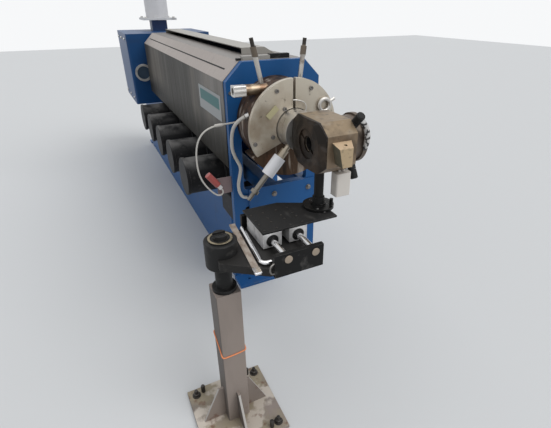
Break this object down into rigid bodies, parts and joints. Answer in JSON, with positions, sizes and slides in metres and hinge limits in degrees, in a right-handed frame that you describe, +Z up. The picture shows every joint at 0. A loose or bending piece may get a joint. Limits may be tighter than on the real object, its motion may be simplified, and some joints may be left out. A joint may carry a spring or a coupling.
{
  "type": "cable sheathing line",
  "caption": "Single-screw cable sheathing extruder with a hooded barrel, clamped crosshead, hopper and drive, and a swing stand with a slide table and jack under the crosshead.",
  "frame": {"origin": "on the floor under the screw axis, at the middle of the front foot's bolt line", "axes": "+Z up; +Y from the crosshead back to the drive, the longest extent; +X the way the cable travels through the crosshead"},
  "size_m": [0.7836, 3.7685, 1.9023],
  "materials": {
    "frame_paint": "satin",
    "hood_steel": "satin",
    "cap_paint": "satin",
    "barrel_steel": "satin",
    "blower_paint": "satin",
    "box_plastic": "matte",
    "drive_paint": "satin",
    "motor_paint": "satin",
    "hopper_steel": "satin",
    "clamp_steel": "satin",
    "burnt_steel": "satin",
    "tube_brass": "satin",
    "bright_steel": "satin",
    "head_steel": "satin",
    "face_steel": "satin",
    "plug_ceramic": "matte",
    "lead_white": "matte",
    "tab_red": "satin",
    "stand_steel": "satin",
    "hub_black": "satin",
    "rod_chrome": "polished",
    "block_aluminium": "satin",
    "table_black": "satin"
  },
  "bodies": {
    "line": {"base_frame": "frame_paint", "bed_rails": "frame_paint", "front_plate": "frame_paint", "hood_left": "hood_steel", "hood_right": "hood_steel", "hood_rear": "hood_steel", "hood_cap": "cap_paint", "barrel": "barrel_steel", "blowers": "blower_paint", "terminal_box": "box_plastic", "feed_housing": "drive_paint", "gearbox": "drive_paint", "motor": "motor_paint", "hopper_flange": "hopper_steel", "hopper": "hopper_steel", "adapter_flange": "burnt_steel", "clamp_plates": "clamp_steel", "clamp_screw": "tube_brass", "levers": "bright_steel", "eye_bolt": "bright_steel", "die_neck": "bright_steel", "melt_probe": "bright_steel", "crosshead_body": "head_steel", "face_plate": "face_steel", "guider_nut": "face_steel", "heater_block": "head_steel", "die_holder": "face_steel", "head_knobs": "hub_black", "heater_plug": "plug_ceramic", "probe_lead": "lead_white", "heater_lead": "lead_white", "lead_tab": "tab_red", "stand_base": "stand_steel", "stand_column": "stand_steel", "stand_pivot": "hub_black", "pivot_nut": "hub_black"},
    "swing_arm": {"arm_hub": "hub_black", "arm_plate": "table_black", "end_plates": "table_black", "slide_rods": "rod_chrome", "side_bars": "rod_chrome"},
    "carriage": {"slide_blocks": "block_aluminium", "table": "table_black"},
    "handwheel": {"handwheel": "table_black"},
    "jack": {"jack_post": "hub_black"}
  },
  "joints": [
    {"name": "arm_swing", "type": "hinge", "parent": "line", "child": "swing_arm", "pos_m": [-0.3436, -0.7243, 0.73], "axis": [0, 0, 1], "range_deg": [-90, 0]},
    {"name": "table_slide", "type": "slide", "parent": "swing_arm", "child": "carriage", "axis": [0, 1, 0], "range_m": [-0.085, 0]},
    {"name": "handwheel_turn", "type": "hinge", "parent": "carriage", "child": "handwheel", "pos_m": [0, -0.695, 0.79], "axis": [0, 0, 1], "range_deg": [0, 1080]},
    {"name": "jack_lift", "type": "slide", "parent": "carriage", "child": "jack", "axis": [0, 0, 1], "range_m": [-0.018, 0]}
  ],
  "couplings": [
    {"joint": "jack_lift", "follows": "handwheel_turn", "m_per_rad": -0.00095492}
  ]
}
